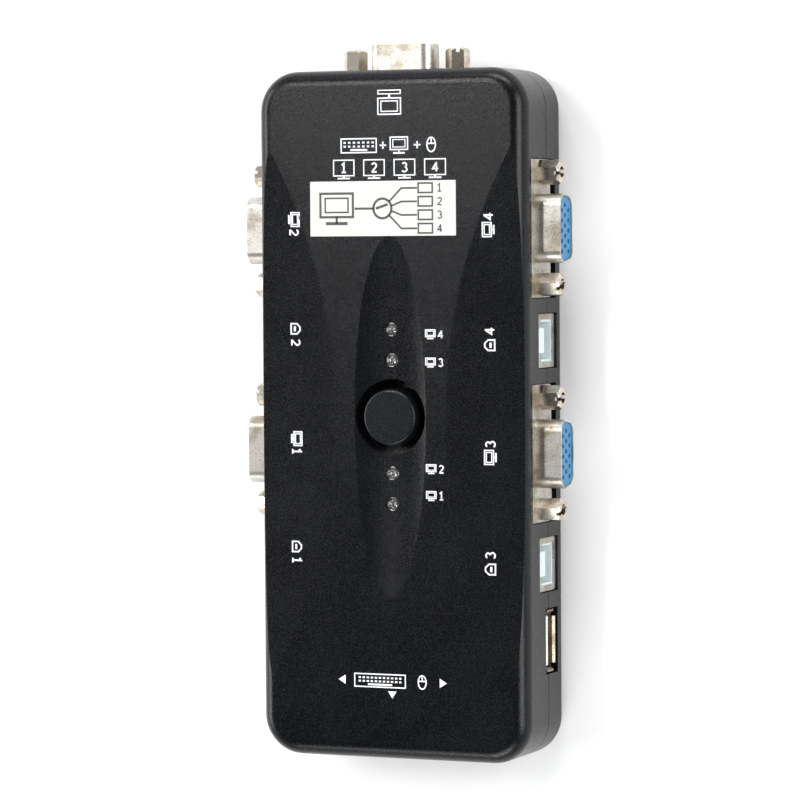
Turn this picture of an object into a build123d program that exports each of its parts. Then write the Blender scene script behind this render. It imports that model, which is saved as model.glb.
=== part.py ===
from build123d import *
import math
import os

# Four-computer KVM switch: a flat moulded box with a monitor port on one end, four
# computer positions (each a VGA and a USB-B socket) on its long sides, three USB-A
# console sockets and one sprung select button in the middle of the top.
# Millimetres. +X across the box, +Y towards the monitor port, +Z up, Z = 0 on the desk.
# The box is drawn centred on X = 0, Y = 0 and moved along Y once, when it is written, so
# that the origin is under the centre of the whole footprint.

# ---------------------------------------------------------------- driving dimensions
case_length = 155.0
case_width = 65.0
case_height = 23.8            # underside to the crest of the top cover, without feet
corner_radius = 9.0
top_edge_radius = 3.4
bottom_edge_radius = 2.5
wall = 2.0
floor_thickness = 1.5
parting_height = 10.3         # joint between the covers, above the underside
lip_height = 1.2
lip_clearance = 0.05
parting_reveal = 0.25         # shadow line left between the covers
parting_reveal_depth = 0.6
foot_height = 1.5             # how far a foot stands out of the underside
foot_radius = 5.0
foot_seat_depth = 0.5
foot_x = 22.5
foot_y = 56.0

scallop_arc_radius = 121.5    # plan radius of the crease between crest and side slope
scallop_crease_x = 13.5       # where the crease crosses Y = 0
scallop_slope = 0.079
groove_half_width = 8.7
groove_half_length = 40.5
groove_depth = 1.1

board_thickness = 1.6
board_underside_gap = 1.15    # room for solder tails above the floor
board_edge_gap = 1.2          # between the board and the inside of the walls
tail_length = 0.9             # how far pins stand out under the board
tail_clearance = 0.1

port_pitch = 25.1             # along each long side, from socket to socket
first_port_y = 41.7
console_side_y = -50.9
port_gap = 0.2                # between a connector's front and its opening in the covers
vga_opening_low = 0.5         # lower edge of a VGA opening, above the board
usb_a_gap_side = 0.4
usb_a_gap_low = 0.6

vga_flange_width = 30.8
vga_flange_height = 12.5
vga_flange_thickness = 0.8
vga_center_height = 8.7       # above the board
vga_shell_width = 16.33
vga_shell_height = 7.9
vga_shell_length = 6.2        # in front of the flange
vga_recess = 0.4              # flange front behind the outer wall
vga_sheet = 0.45
vga_side_angle = 10.0
vga_jackscrew_spacing = 24.99
vga_pin_pitch = 2.29
vga_row_pitch = 1.98
vga_body_depth = 8.2
vga_body_width = 18.6
vga_first_tail = 9.6          # behind the flange, lowest row of tails
vga_tail_pitch = 2.0
vga_prong_radius = 1.1
vga_prong_setback = 3.0       # from the back of the moulded body
vga_front_setback = 0.3       # moulded face behind the rim of the shroud
vga_contact_setback = 1.2
vga_sleeve_length = 5.0
vga_sleeve_wall = 0.12
vga_body_rise = 0.5           # moulded body above the shroud
vga_shroud_radius = 2.6
bracket_sheet = 0.8
bracket_gap = 0.2
bracket_inset = 0.3
contact_hole_radius = 0.55
contact_rod_radius = 0.3

jackscrew_flats = 4.8
jackscrew_length = 5.2
jackscrew_thread_radius = 1.25
jackscrew_stud_radius = 1.4
jackscrew_stud_length = 5.0
jackscrew_slot_width = 0.8
jackscrew_slot_depth = 1.0
jackscrew_corner_chamfer = 0.6
jackscrew_thread_floor = 0.6
jackscrew_turns = {-1: 22.0, 1: 7.0}   # degrees each of a pair has been driven to

usb_b_width = 12.04
usb_b_height = 10.9
usb_b_depth = 16.0
usb_b_recess = 0.5
usb_b_opening_width = 8.45
usb_b_opening_height = 7.78
usb_b_bevel = 1.7
usb_b_opening_depth = 9.0
usb_b_tongue_width = 5.6
usb_b_tongue_height = 3.2
usb_b_tongue_setback = 1.0
usb_b_frame_margin = 0.5      # the can's opening, outside the moulded one
usb_b_corner_radius = 0.7
usb_b_prong_back = 9.0        # back edge of the board prongs, behind the front
usb_b_prong_width = 2.4
usb_b_row_pitch = 2.5         # between the two columns of contacts, and of tails
usb_b_tail_x = 12.0
usb_sheet = 0.4
usb_clearance = 0.05
usb_contact_thickness = 0.25
usb_contact_width = 0.8
usb_tail_width = 0.6

usb_a_width = 13.1
usb_a_height = 5.72
usb_a_depth = 14.0
usb_a_center_height = 4.0     # above the board
usb_a_flare_width = 14.0
usb_a_flare_height = 6.6
usb_a_flare_length = 0.5
usb_a_lip_cut_side = 1.7      # cut from each end of the two long lips
usb_a_lip_cut_high = 1.35     # cut from each end of the two short lips
usb_a_lip_cut_depth = 1.0
usb_a_recess = 0.3
usb_a_tongue_width = 11.1
usb_a_tongue_thickness = 1.84
usb_a_tongue_gap = 0.35
usb_a_tongue_setback = 0.5
usb_a_block_depth = 4.4
usb_a_prong_back = 9.5
usb_a_prong_width = 2.5
usb_a_contact_width = 1.0
usb_a_contact_setback = 2.0
usb_a_contact_places = (-3.5, -1.0, 1.0, 3.5)

button_y = -0.3
button_radius = 6.3
button_top_height = 24.4      # above the underside
button_wall = 1.2
button_roof = 1.5
button_edge_radius = 0.6
button_flange_reach = 0.9
button_flange_thickness = 1.0
button_gap = 0.3              # round the button, in its hole
button_rest_gap = 0.1         # flange to the stop above it
button_travel = 1.5
well_radius = 8.5
well_floor_height = 16.5      # above the underside
well_floor_thickness = 1.4
well_wall = 1.5

switch_side = 8.5
switch_base_thickness = 1.0
switch_body_height = 7.0
switch_roof = 1.2
switch_chamber_radius = 3.2
switch_corner_radius = 0.5
switch_pin_x = 2.0            # three rows of two terminals
switch_pin_y = 2.5
plunger_radius = 1.6
plunger_running_gap = 0.08
plunger_collar_radius = 2.8
plunger_collar_height = 1.35
plunger_pin_radius = 0.9
plunger_grip = 3.0            # length held in the button's boss
button_boss_radius = 3.0
boss_grip_gap = 0.02
spring_wire_radius = 0.175
spring_radius = 1.8
spring_turns = 5

led_radius = 1.5
led_length = 5.3
led_flange_radius = 1.9
led_flange_height = 1.0
led_hole_gap = 0.1
led_stand_out = 0.9           # dome top above the bottom of the groove
led_near = 12.7               # from the button's centre
led_far = 19.6
led_lead_side = 0.5
led_lead_pitch = 2.54

screw_x = 24.5
screw_y = 69.0
screw_radius = 1.3
screw_head_radius = 2.5
screw_head_height = 1.7
screw_length = 12.0
screw_hole_gap = 0.2
screw_head_depth = 2.2
screw_cross_width = 0.5
screw_tip_gap = 1.0
thread_gap = 0.02
boss_radius = 3.0
boss_top_height = 6.5         # lower boss, above the underside
boss_joint_gap = 0.1

label_width = 35.4
label_height = 12.3
label_x = -1.45
label_y = 46.4
label_thickness = 0.15
label_corner_radius = 0.15

chip_places = [(-11.0, 30.0, 10.0, 12.0), (10.0, -30.0, 10.0, 12.0),
               (0.0, 38.0, 6.0, 10.0), (0.0, -40.0, 7.0, 7.0)]
chip_height = 1.6
crystal_x = -8.5
crystal_y = -46.5
crystal_width = 5.0
crystal_length = 11.0
crystal_height = 3.5
crystal_corner_radius = 2.0

# ---------------------------------------------------------------- levels and places
underside = foot_height
floor_top = underside + floor_thickness
parting = underside + parting_height
crest = underside + case_height
board_bottom = floor_top + board_underside_gap
board_top = board_bottom + board_thickness
tail_depth = board_thickness + tail_length

button_top = underside + button_top_height
well_floor = underside + well_floor_height
groove_bottom = crest - groove_depth
led_top = groove_bottom + led_stand_out
led_base = led_top - led_length
plunger_roof = board_top + switch_base_thickness + switch_body_height
collar_top = plunger_roof - switch_roof - button_rest_gap * 2

vga_reach = vga_shell_length - vga_recess
vga_back = -vga_flange_thickness                # back of the flange, in its own frame
vga_deep = vga_back - vga_body_depth            # back of the moulded body
vga_sleeve_front = vga_shell_length - vga_contact_setback
vga_sleeve_back = vga_sleeve_front - vga_sleeve_length
vga_body_top = vga_center_height + vga_shell_height / 2 + vga_body_rise
vga_behind_wall = vga_recess - wall - port_gap  # first place clear of the case wall
vga_flange_low = vga_center_height - vga_flange_height / 2
origin_shift_y = -vga_reach / 2
led_places = {"pc4": button_y + led_far, "pc3": button_y + led_near,
              "pc2": button_y - led_near, "pc1": button_y - led_far}
corner_signs = [(sx, sy) for sx in (-1, 1) for sy in (-1, 1)]


def port_frame(side, along, recess):
    """Where a connector's own frame goes: its +X points out of the box, its Z = 0 is
    the board and its X = 0 is its front plane."""
    reach_x = case_width / 2 - recess
    reach_y = case_length / 2 - recess
    places = {"right": Pos(reach_x, along, board_top),
              "left": Pos(-reach_x, along, board_top) * Rot(0, 0, 180),
              "monitor_end": Pos(along, reach_y, board_top) * Rot(0, 0, 90),
              "far_end": Pos(along, -reach_y, board_top) * Rot(0, 0, -90)}
    return places[side]


vga_ports = {"monitor": ("monitor_end", 0.0),
             "pc4": ("right", first_port_y),
             "pc3": ("right", first_port_y - 2 * port_pitch),
             "pc2": ("left", first_port_y),
             "pc1": ("left", first_port_y - 2 * port_pitch)}
usb_b_ports = {"pc4": ("right", first_port_y - port_pitch),
               "pc3": ("right", first_port_y - 3 * port_pitch),
               "pc2": ("left", first_port_y - port_pitch),
               "pc1": ("left", first_port_y - 3 * port_pitch)}
usb_a_ports = {"left": ("left", console_side_y),
               "right": ("right", console_side_y),
               "end": ("far_end", 0.0)}


# ---------------------------------------------------------------- small helpers
def block(x0, x1, y0, y1, z0, z1):
    """An upright box between two corners."""
    return Pos((x0 + x1) / 2, (y0 + y1) / 2, (z0 + z1) / 2) * Box(x1 - x0, y1 - y0, z1 - z0)


def post(radius, x, y, z0, z1):
    """An upright cylinder."""
    return Pos(x, y, (z0 + z1) / 2) * Cylinder(radius, z1 - z0)


def rod(radius, x0, x1, y, z):
    """A cylinder along X."""
    return Pos((x0 + x1) / 2, y, z) * Rot(0, 90, 0) * Cylinder(radius, x1 - x0)


def slab(inset, z0, z1):
    """The case's plan outline, drawn in by inset, as an upright prism."""
    plan = RectangleRounded(case_width - 2 * inset, case_length - 2 * inset,
                            corner_radius - inset)
    return extrude(Pos(0, 0, z0) * plan, z1 - z0)


def along_x(face, x0, x1):
    """A bar along X with the given YZ section."""
    return extrude(Pos(x0, 0, 0) * (Plane.YZ * face), x1 - x0, dir=(1, 0, 0))


def group(solids):
    """Separate solids that share one node."""
    return Compound([solid for piece in solids for solid in piece.solids()])


def d_prism(width, height, x0, x1, radius):
    """A D-shaped bar along X, wide side up, centred on Y = 0, Z = 0."""
    lean = height * math.tan(math.radians(vga_side_angle))
    half = width / 2
    outline = Polyline((half, height / 2), (-half, height / 2),
                       (lean - half, -height / 2), (half - lean, -height / 2), close=True)
    face = make_face(outline)
    return along_x(fillet(face.vertices(), radius), x0, x1)


# ---------------------------------------------------------------- covers
def scallop_cutters(drop):
    """The two shallow cones that slope the long sides of the top, lowered by drop."""
    center_x = scallop_crease_x + scallop_arc_radius
    reach = case_width / 2
    low = crest - drop - scallop_slope * reach
    outline = Polyline((scallop_arc_radius, crest - drop),
                       (scallop_arc_radius - reach, low),
                       (scallop_arc_radius - reach, crest + wall),
                       (scallop_arc_radius, crest + wall), close=True)
    ring = revolve(make_face(Plane.XZ * outline), Axis.Z)
    return [Pos(side * center_x, 0, 0) * ring for side in (-1, 1)]


def groove_cutter(drop):
    """The long shallow hollow along the middle of the top, lowered by drop."""
    section_radius = (groove_half_width**2 + groove_depth**2) / (2 * groove_depth)
    axis_height = section_radius - groove_depth
    end = (0, groove_half_length, -axis_height)
    start = (0, -groove_half_length, -axis_height)
    belly = ThreePointArc(start, (0, 0, -section_radius), end)
    sides = Polyline(end, (0, groove_half_length, 0), (0, -groove_half_length, 0), start)
    face = make_face(Curve() + [belly, sides])
    return Pos(0, button_y, crest + axis_height - drop) * revolve(face, Axis.Y)


def outer_body():
    """The closed outside shape of the case, both covers together."""
    body = slab(0, underside, crest)
    body = fillet(body.faces().sort_by(Axis.Z)[-1].edges(), top_edge_radius)
    body = fillet(body.faces().sort_by(Axis.Z)[0].edges(), bottom_edge_radius)
    for cutter in scallop_cutters(0):
        body -= cutter
    return body - groove_cutter(0)


def cavity():
    """The room inside the covers."""
    room = slab(wall, floor_top, crest - wall)
    for cutter in scallop_cutters(wall):
        room -= cutter
    return room - groove_cutter(wall)


def port_openings():
    """Every socket's opening through the walls, from the parting both ways."""
    depth = 3 * wall
    cuts = []
    for side, along in vga_ports.values():
        half = vga_flange_width / 2 + port_gap
        high = vga_flange_height / 2 + port_gap
        cut = block(-depth, depth, -half, half, vga_opening_low, vga_center_height + high)
        cuts.append(port_frame(side, along, 0) * cut)
    for side, along in usb_b_ports.values():
        half = usb_b_width / 2 + port_gap
        cut = block(-depth, depth, -half, half, -port_gap, usb_b_height + port_gap)
        cuts.append(port_frame(side, along, 0) * cut)
    for side, along in usb_a_ports.values():
        half = usb_a_flare_width / 2 + usb_a_gap_side
        high = usb_a_flare_height / 2
        cut = block(-depth, depth, -half, half, usb_a_center_height - high - usb_a_gap_low,
                    usb_a_center_height + high + port_gap)
        cuts.append(port_frame(side, along, 0) * cut)
    return cuts


def top_cover(body, room, openings):
    """Upper shell: button well, lamp guides and screw bosses, rebated for the lip."""
    above = block(-case_width, case_width, -case_length, case_length, parting, crest + wall)
    cover = (body & above) - room
    lip_room = slab(wall / 2, parting, parting + lip_height + 2 * lip_clearance)
    cover -= lip_room - slab(wall + lip_clearance, parting, crest)
    for sx, sy in corner_signs:
        tube = post(boss_radius, sx * screw_x, sy * screw_y,
                    underside + boss_top_height + boss_joint_gap, crest - wall / 2)
        cover += tube
    well = post(well_radius + well_wall, 0, button_y,
                well_floor - well_floor_thickness, groove_bottom - wall / 2)
    cover += well
    for y in led_places.values():
        cover += post(led_radius + led_hole_gap + wall / 2, 0, y,
                      led_base + led_flange_height + led_hole_gap, groove_bottom - wall / 2)
    cover -= post(well_radius, 0, button_y, well_floor, crest)
    cover -= post(button_radius + button_gap, 0, button_y,
                  well_floor - 2 * well_floor_thickness, crest)
    for y in led_places.values():
        cover -= post(led_radius + led_hole_gap, 0, y, led_base, crest)
    for sx, sy in corner_signs:
        pilot_top = underside + screw_head_depth + screw_length + screw_tip_gap
        cover -= post(screw_radius + thread_gap, sx * screw_x, sy * screw_y,
                      underside, pilot_top)
    return cover - openings


def bottom_cover(body, room, openings):
    """Lower shell: lip, board shoulders, screw bosses and seats for the feet."""
    below = block(-case_width, case_width, -case_length, case_length, 0, parting)
    cover = (body & below) - room
    reveal = slab(-wall, parting - parting_reveal, parting)
    cover -= reveal - slab(parting_reveal_depth, parting - lip_height, parting)
    outside = slab(wall / 2 + lip_clearance, parting - lip_height, parting + lip_height)
    cover += outside - slab(wall, 0, crest)
    for sx, sy in corner_signs:
        x, y = sx * screw_x, sy * screw_y
        cover += post(boss_radius + wall, x, y, underside + floor_thickness / 2, board_bottom)
        cover += post(boss_radius, x, y, underside + floor_thickness / 2,
                      underside + boss_top_height)
    for sx, sy in corner_signs:
        x, y = sx * screw_x, sy * screw_y
        cover -= post(screw_radius + screw_hole_gap, x, y, 0, crest)
        cover -= post(screw_head_radius + screw_hole_gap, x, y, 0,
                      underside + screw_head_depth)
        cover -= post(foot_radius + lip_clearance, sx * foot_x, sy * foot_y, 0,
                      underside + foot_seat_depth)
    return cover - openings


def rubber_feet():
    feet = []
    for sx, sy in corner_signs:
        foot = post(foot_radius, sx * foot_x, sy * foot_y, 0, underside + foot_seat_depth)
        feet.append(chamfer(foot.edges().sort_by(Axis.Z)[0], foot_seat_depth))
    return group(feet)


def cover_screws():
    """Self-tapping screws from below: cross-slotted pan head and plain shank."""
    seat = underside + screw_head_depth
    head = post(screw_head_radius, 0, 0, seat - screw_head_height, seat)
    head = fillet(head.edges().sort_by(Axis.Z)[0], screw_head_height / 3)
    one = head + post(screw_radius, 0, 0, seat, seat + screw_length)
    slot_depth = screw_head_height * 0.6
    arm = screw_head_radius * 0.6
    half = screw_cross_width / 2
    for angle in (0, 90):
        bar = block(-arm, arm, -half, half, 0, seat - screw_head_height + slot_depth)
        one -= Rot(0, 0, angle) * bar
    return group([Pos(sx * screw_x, sy * screw_y, 0) * one for sx, sy in corner_signs])


def name_label():
    """A plain sticker lying on the crest."""
    plan = RectangleRounded(label_width, label_height, label_corner_radius)
    return extrude(Pos(label_x, label_y, crest) * plan, label_thickness)


# ---------------------------------------------------------------- VGA connectors
def vga_shell():
    """Stamped front: flange with two screw holes and the D-shaped shroud."""
    high = vga_center_height
    flange = Pos(0, 0, high) * along_x(
        RectangleRounded(vga_flange_width, vga_flange_height, 1.0), -vga_flange_thickness, 0)
    shroud = Pos(0, 0, high) * d_prism(vga_shell_width, vga_shell_height,
                                       -vga_flange_thickness, vga_shell_length,
                                       vga_shroud_radius)
    bore = Pos(0, 0, high) * d_prism(vga_shell_width - 2 * vga_sheet,
                                     vga_shell_height - 2 * vga_sheet,
                                     -wall, vga_shell_length + 1,
                                     vga_shroud_radius - vga_sheet)
    shell = flange + shroud - bore
    for side in (-1, 1):
        shell -= rod(jackscrew_stud_radius + port_gap, -wall, wall,
                     side * vga_jackscrew_spacing / 2, high)
    return shell


def vga_pin_places():
    """The fifteen holes as (row, y, z above the connector's centre), top row first."""
    places = []
    for row in range(3):
        shift = vga_pin_pitch / 2 if row == 1 else 0.0
        for column in range(5):
            y = (column - 2) * vga_pin_pitch + shift - vga_pin_pitch / 4
            places.append((row, y, (1 - row) * vga_row_pitch))
    return places


def vga_contact(row, z):
    """One socket contact: open sleeve, rod through the body and a bent-down tail."""
    tail_x = -(vga_first_tail + (2 - row) * vga_tail_pitch)
    sleeve = rod(contact_hole_radius, vga_sleeve_back, vga_sleeve_front, 0, z)
    sleeve -= rod(contact_hole_radius - vga_sleeve_wall, vga_sleeve_back + 1,
                  vga_sleeve_front + 1, 0, z)
    return (sleeve + rod(contact_rod_radius, tail_x, vga_sleeve_back + 0.5, 0, z)
            + Pos(tail_x, 0, z) * Sphere(contact_rod_radius)
            + post(contact_rod_radius, tail_x, 0, -tail_depth, z))


def vga_contacts():
    pins = {row: vga_contact(row, vga_center_height + (1 - row) * vga_row_pitch)
            for row in range(3)}
    return group([Pos(0, y, 0) * pins[row] for row, y, _ in vga_pin_places()])


def vga_insulator():
    """Two mouldings: the D-shaped front with fifteen holes and the block behind it."""
    high = vga_center_height
    inset = vga_sheet + usb_clearance
    front = vga_shell_length - vga_front_setback
    half = vga_body_width / 2
    face = Pos(0, 0, high) * d_prism(vga_shell_width - 2 * inset,
                                     vga_shell_height - 2 * inset, vga_back, front,
                                     vga_shroud_radius - inset)
    rear = block(vga_behind_wall, vga_back, -half, half, vga_flange_low, vga_body_top)
    rear += block(vga_deep, vga_behind_wall, -half, half, 0, vga_body_top)
    for _, y, z in vga_pin_places():
        face -= rod(contact_hole_radius, vga_sleeve_back, front + 1, y, high + z)
        face -= rod(contact_rod_radius, vga_back - 1, vga_sleeve_back, y, high + z)
        rear -= rod(contact_rod_radius, vga_deep - 1, 0, y, high + z)
    return group([face, rear])


def vga_bracket():
    """Folded bracket that ties the flange to the board, with two board prongs."""
    sheet = bracket_sheet
    top = vga_body_top + bracket_gap
    inner = vga_body_width / 2 + usb_clearance
    outer = vga_flange_width / 2 - bracket_inset
    bracket = block(vga_deep, vga_back, -outer, outer, top, top + sheet)
    for side in (-1, 1):
        edges = sorted((side * inner, side * outer))
        bracket += block(vga_behind_wall, vga_back, *edges, vga_flange_low, top + sheet)
        bracket += block(vga_behind_wall - sheet, vga_behind_wall, *edges, 0, top + sheet)
        bracket += block(vga_deep, vga_behind_wall, *edges, 0, sheet)
        bracket += post(vga_prong_radius, vga_deep + vga_prong_setback,
                        side * vga_jackscrew_spacing / 2, -tail_depth, sheet)
        bracket -= rod(jackscrew_stud_radius + thread_gap, vga_deep, 0,
                       side * vga_jackscrew_spacing / 2, vga_center_height)
    return bracket


def jackscrew():
    """Hexagonal post: slotted end with a threaded socket in front and a stud behind."""
    hexagon = RegularPolygon(jackscrew_flats / 2, 6, major_radius=False)
    head = along_x(hexagon, 0, jackscrew_length)
    corner = jackscrew_flats / 2 / math.cos(math.radians(30))
    envelope = rod(corner, 0, jackscrew_length, 0, 0)
    envelope = chamfer(envelope.edges().sort_by(Axis.X)[-1], jackscrew_corner_chamfer)
    head &= envelope
    one = head + rod(jackscrew_stud_radius, -jackscrew_stud_length, 0, 0, 0)
    half_slot = jackscrew_slot_width / 2
    one -= block(jackscrew_length - jackscrew_slot_depth, jackscrew_length + 1,
                 -half_slot, half_slot, -corner, corner)
    return one - rod(jackscrew_thread_radius, jackscrew_thread_floor,
                     jackscrew_length + 1, 0, 0)


def jackscrews():
    one = jackscrew()
    posts = []
    for side, along in vga_ports.values():
        for hand in (-1, 1):
            place = Pos(0, hand * vga_jackscrew_spacing / 2, vga_center_height)
            turned = Rot(jackscrew_turns[hand], 0, 0) * one
            posts.append(port_frame(side, along, vga_recess) * place * turned)
    return group(posts)


# ---------------------------------------------------------------- USB-B connectors
def usb_b_mouth(grow, x0, x1):
    """The plug opening as a bar along X: square, with its two upper corners bevelled."""
    high = usb_b_opening_height / 2 + grow
    wide = usb_b_opening_width / 2 + grow
    outline = Polyline((wide, -high), (wide, high - usb_b_bevel), (wide - usb_b_bevel, high),
                       (usb_b_bevel - wide, high), (-wide, high - usb_b_bevel),
                       (-wide, -high), close=True)
    return Pos(0, 0, usb_b_height / 2) * along_x(make_face(outline), x0, x1)


def usb_b_shell():
    """Folded can: framed front, closed back, slot below for the tails, two prongs."""
    half = usb_b_width / 2
    can = block(-usb_b_depth, 0, -half, half, 0, usb_b_height)
    can = fillet(can.edges().filter_by(Axis.X), usb_b_corner_radius)
    inner = block(usb_sheet - usb_b_depth, -usb_sheet, usb_sheet - half, half - usb_sheet,
                  usb_sheet, usb_b_height - usb_sheet)
    can -= inner
    can -= usb_b_mouth(usb_b_frame_margin, -2 * usb_sheet, 1)
    can -= block(2 * usb_sheet - usb_b_depth, -usb_b_opening_depth - usb_sheet,
                 2 * usb_sheet - half, half - 2 * usb_sheet, -1, usb_sheet)
    for side in (-1, 1):
        edges = sorted((side * half, side * (half - usb_sheet)))
        can += block(-usb_b_prong_back, usb_b_prong_width - usb_b_prong_back, *edges,
                     -tail_depth, usb_b_corner_radius + usb_sheet)
    return can


def usb_b_contacts():
    """Two contacts above the tongue and two below, each with its tail."""
    middle = usb_b_height / 2
    strips = []
    for row in (-1, 1):
        inner = usb_b_tongue_height / 2
        z0, z1 = sorted((middle + row * inner,
                         middle + row * (inner + usb_contact_thickness)))
        tail_x = -usb_b_tail_x - row * usb_b_row_pitch / 2
        wide = usb_contact_width / 2
        thin = usb_tail_width / 2
        for side in (-1, 1):
            y = side * usb_b_row_pitch / 2
            strip = block(tail_x - thin, -usb_b_tongue_setback - usb_tail_width,
                          y - wide, y + wide, z0, z1)
            strips.append(strip + block(tail_x - thin, tail_x + thin, y - thin, y + thin,
                                        -tail_depth, z1))
    return group(strips)


def usb_b_insulator(contacts):
    """Moulded body with the bevelled plug opening and the tongue standing in it."""
    gap = usb_sheet + usb_clearance
    half = usb_b_width / 2 - gap
    middle = usb_b_height / 2
    back = usb_b_depth - gap
    body = block(-back, -gap, -half, half, gap, usb_b_height - gap)
    tongue = block(-usb_b_opening_depth, -usb_b_tongue_setback, -usb_b_tongue_width / 2,
                   usb_b_tongue_width / 2, middle - usb_b_tongue_height / 2,
                   middle + usb_b_tongue_height / 2)
    mouth = usb_b_mouth(0, -usb_b_opening_depth, 1)
    return body - mouth + tongue - contacts.solids()


# ---------------------------------------------------------------- USB-A connectors
def usb_a_shell():
    """Folded sleeve with four flared lips, open below at the back, two prongs."""
    def tube(grow):
        near = Pos(-usb_a_flare_length, 0, 0) * (Plane.YZ * Rectangle(
            usb_a_width + 2 * grow, usb_a_height + 2 * grow))
        far = Plane.YZ * Rectangle(usb_a_flare_width + 2 * grow,
                                   usb_a_flare_height + 2 * grow)
        half_w = usb_a_width / 2 + grow
        half_h = usb_a_height / 2 + grow
        start = -usb_a_depth - min(grow, 0) if grow else -usb_a_depth
        return block(start, -usb_a_flare_length, -half_w, half_w, -half_h, half_h) + loft(
            [near, far])
    sleeve = tube(0) - tube(-usb_sheet)
    for sy in (-1, 1):
        for sz in (-1, 1):
            y = sy * usb_a_flare_width / 2
            z = sz * usb_a_flare_height / 2
            sleeve -= Pos(0, y, z) * Box(2 * usb_a_lip_cut_depth, 2 * usb_a_lip_cut_side,
                                         2 * usb_a_lip_cut_high)
    sleeve = Pos(0, 0, usb_a_center_height) * sleeve
    half = usb_a_width / 2
    sleeve -= block(usb_sheet - usb_a_depth, -usb_a_depth + usb_a_block_depth,
                    usb_sheet - half, half - usb_sheet, -1, usb_a_center_height)
    for side in (-1, 1):
        edges = sorted((side * half, side * (half - usb_sheet)))
        sleeve += block(-usb_a_prong_back, usb_a_prong_width - usb_a_prong_back, *edges,
                        -tail_depth, usb_a_center_height)
    return sleeve


def usb_a_tongue_span():
    """Lowest and highest level of the tongue, above the board."""
    top = usb_a_center_height + usb_a_height / 2 - usb_sheet - usb_a_tongue_gap
    return top - usb_a_tongue_thickness, top


def usb_a_contacts():
    """Four contacts under the tongue, each with its tail."""
    low, _ = usb_a_tongue_span()
    tail_x = -usb_a_depth + usb_a_block_depth / 2
    wide = usb_a_contact_width / 2
    thin = usb_tail_width / 2
    strips = []
    for y in usb_a_contact_places:
        strip = block(tail_x - thin, -usb_a_contact_setback, y - wide, y + wide,
                      low - usb_contact_thickness, low)
        strips.append(strip + block(tail_x - thin, tail_x + thin, y - thin, y + thin,
                                    -tail_depth, low))
    return group(strips)


def usb_a_insulator(contacts):
    """Moulded block standing on the board and the flat tongue in the sleeve."""
    gap = usb_sheet + usb_clearance
    half = usb_a_width / 2 - gap
    low, high = usb_a_tongue_span()
    body = block(gap - usb_a_depth, usb_a_block_depth - usb_a_depth - usb_clearance,
                 -half, half, 0, usb_a_center_height + usb_a_height / 2 - gap)
    body += block(usb_a_block_depth - usb_a_depth - 1, -usb_a_tongue_setback,
                  -usb_a_tongue_width / 2, usb_a_tongue_width / 2, low, high)
    return body - contacts.solids()


# ---------------------------------------------------------------- button and switch
def select_button():
    """Round cap: skirt with a stop flange and a boss that grips the plunger."""
    stop = well_floor - well_floor_thickness - button_rest_gap
    low = stop - button_flange_thickness
    cap = post(button_radius, 0, button_y, low, button_top)
    cap = fillet(cap.edges().sort_by(Axis.Z)[-1], button_edge_radius)
    cap += post(button_radius + button_flange_reach, 0, button_y, low, stop)
    cap -= post(button_radius - button_wall, 0, button_y, low - 1, button_top - button_roof)
    boss_low = plunger_roof + button_travel + button_gap
    cap += post(button_boss_radius, 0, button_y, boss_low, button_top - button_roof)
    return cap - post(plunger_radius + boss_grip_gap, 0, button_y, boss_low - 1,
                      boss_low + plunger_grip)


def switch_plunger():
    """Stem, collar above the spring and the pin that keeps the spring centred."""
    top = plunger_roof + button_travel + button_gap + plunger_grip
    collar_low = collar_top - plunger_collar_height
    pin_low = board_top + switch_base_thickness + button_travel + button_gap
    return (post(plunger_radius, 0, button_y, collar_top, top)
            + post(plunger_collar_radius, 0, button_y, collar_low, collar_top)
            + post(plunger_pin_radius, 0, button_y, pin_low, collar_low))


def switch_body():
    """Square housing, open below, with the plunger's guide hole in its roof."""
    half = switch_side / 2
    low = board_top + switch_base_thickness
    body = block(-half, half, button_y - half, button_y + half, low, plunger_roof)
    body = fillet(body.edges().filter_by(Axis.Z), switch_corner_radius)
    body -= post(switch_chamber_radius, 0, button_y, low - 1, plunger_roof - switch_roof)
    return body - post(plunger_radius + plunger_running_gap, 0, button_y, low,
                       plunger_roof + 1)


def switch_pin_places():
    return [(row * switch_pin_x, button_y + side * switch_pin_y)
            for row in (-1, 0, 1) for side in (-1, 1)]


def switch_base():
    """Plate that closes the housing and carries the terminals."""
    half = switch_side / 2
    plate = block(-half, half, button_y - half, button_y + half,
                  board_top, board_top + switch_base_thickness)
    for x, y in switch_pin_places():
        plate -= post(contact_rod_radius, x, y, board_top - 1, board_top + 2)
    return plate


def switch_terminals():
    return group([post(contact_rod_radius, x, y, board_top - tail_depth,
                       board_top + switch_base_thickness)
                  for x, y in switch_pin_places()])


def switch_spring():
    """Return spring between the base plate and the plunger's collar."""
    low = board_top + switch_base_thickness + spring_wire_radius
    high = collar_top - plunger_collar_height - spring_wire_radius
    rise = high - low
    path = Helix(pitch=rise / spring_turns, height=rise, radius=spring_radius)
    section = Plane(path @ 0, z_dir=path % 0) * Circle(spring_wire_radius)
    return Pos(0, button_y, low) * sweep(section, path, is_frenet=True)


# ---------------------------------------------------------------- lamps and board
def led(y):
    """Clear round lamp: flange, barrel and dome."""
    barrel_top = led_top - led_radius
    lamp = post(led_radius, 0, y, led_base, barrel_top)
    lamp += Pos(0, y, barrel_top) * Sphere(led_radius)
    return lamp + post(led_flange_radius, 0, y, led_base, led_base + led_flange_height)


def led_lead_places():
    return [(side * led_lead_pitch / 2, y) for y in led_places.values() for side in (-1, 1)]


def led_leads():
    half = led_lead_side / 2
    return group([block(x - half, x + half, y - half, y + half,
                        board_top - tail_depth, led_base)
                  for x, y in led_lead_places()])


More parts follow.
